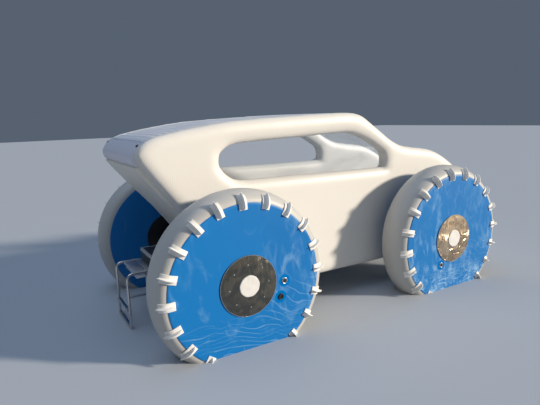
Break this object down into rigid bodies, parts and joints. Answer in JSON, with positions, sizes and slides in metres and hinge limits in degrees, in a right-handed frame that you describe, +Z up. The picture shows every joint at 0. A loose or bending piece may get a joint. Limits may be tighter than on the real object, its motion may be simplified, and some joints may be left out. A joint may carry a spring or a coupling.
{
  "type": "inflatable amphibious paddle-wheel craft",
  "caption": "Car-shaped inflatable amphibious craft with a hollow cabin, carried and driven by four large inflated drum wheels with paddle cleats.",
  "frame": {"origin": "on the floor under the wheels, below the middle of the craft's length and width", "axes": "+X forward, +Y to port, +Z up; the middle plane is Y = 0"},
  "size_m": [4.9516, 2.8, 2.51],
  "materials": {
    "hull_white": "satin coated fabric, inflated",
    "wheel_blue": "satin coated fabric, slightly wet",
    "roof_fabric": "pleated coated fabric",
    "clear_film": "clear flexible film",
    "stainless": "polished",
    "aluminium": "brushed",
    "black_plate": "moulded",
    "seat_fabric": "coated fabric"
  },
  "bodies": {
    "hull": {"side_panel_right": "hull_white", "side_panel_left": "hull_white", "roof_panel": "roof_fabric", "rear_bolster": "roof_fabric", "rear_panel": "hull_white", "floor_panel": "hull_white", "bow_panel": "hull_white", "clear_screen": "clear_film", "front_bench": "seat_fabric", "rear_bench": "seat_fabric", "chassis_rail_right": "aluminium", "chassis_rail_left": "aluminium", "rear_axle": "aluminium", "front_axle": "aluminium", "stern_deck": "aluminium", "battery_box": "black_plate", "stern_frame": "aluminium", "boarding_ladder": "stainless", "hub_carrier_rear_right": "black_plate", "hub_carrier_rear_left": "black_plate", "hub_carrier_front_right": "black_plate", "hub_carrier_front_left": "black_plate"},
    "rear_right_wheel": {"wheel_rear_right_drum": "hull_white", "wheel_rear_right_outer_disc": "wheel_blue", "wheel_rear_right_inner_disc": "wheel_blue", "wheel_rear_right_hub_plate": "stainless", "wheel_rear_right_inner_plate": "black_plate", "wheel_rear_right_cap": "hull_white"},
    "rear_left_wheel": {"wheel_rear_left_drum": "hull_white", "wheel_rear_left_outer_disc": "wheel_blue", "wheel_rear_left_inner_disc": "wheel_blue", "wheel_rear_left_hub_plate": "stainless", "wheel_rear_left_inner_plate": "black_plate", "wheel_rear_left_cap": "hull_white"},
    "front_right_wheel": {"wheel_front_right_drum": "hull_white", "wheel_front_right_outer_disc": "wheel_blue", "wheel_front_right_inner_disc": "wheel_blue", "wheel_front_right_hub_plate": "stainless", "wheel_front_right_inner_plate": "black_plate", "wheel_front_right_cap": "hull_white"},
    "front_left_wheel": {"wheel_front_left_drum": "hull_white", "wheel_front_left_outer_disc": "wheel_blue", "wheel_front_left_inner_disc": "wheel_blue", "wheel_front_left_hub_plate": "stainless", "wheel_front_left_inner_plate": "black_plate", "wheel_front_left_cap": "hull_white"}
  },
  "joints": [
    {"name": "rear_right_wheel_turn", "type": "hinge", "parent": "hull", "child": "rear_right_wheel", "pos_m": [-1.5655, -1.145, 0.91097], "axis": [0, 1, 0], "continuous": true},
    {"name": "rear_left_wheel_turn", "type": "hinge", "parent": "hull", "child": "rear_left_wheel", "pos_m": [-1.5655, 1.145, 0.91097], "axis": [0, 1, 0], "continuous": true},
    {"name": "front_right_wheel_turn", "type": "hinge", "parent": "hull", "child": "front_right_wheel", "pos_m": [1.3535, -1.145, 0.91097], "axis": [0, 1, 0], "continuous": true},
    {"name": "front_left_wheel_turn", "type": "hinge", "parent": "hull", "child": "front_left_wheel", "pos_m": [1.3535, 1.145, 0.91097], "axis": [0, 1, 0], "continuous": true}
  ]
}
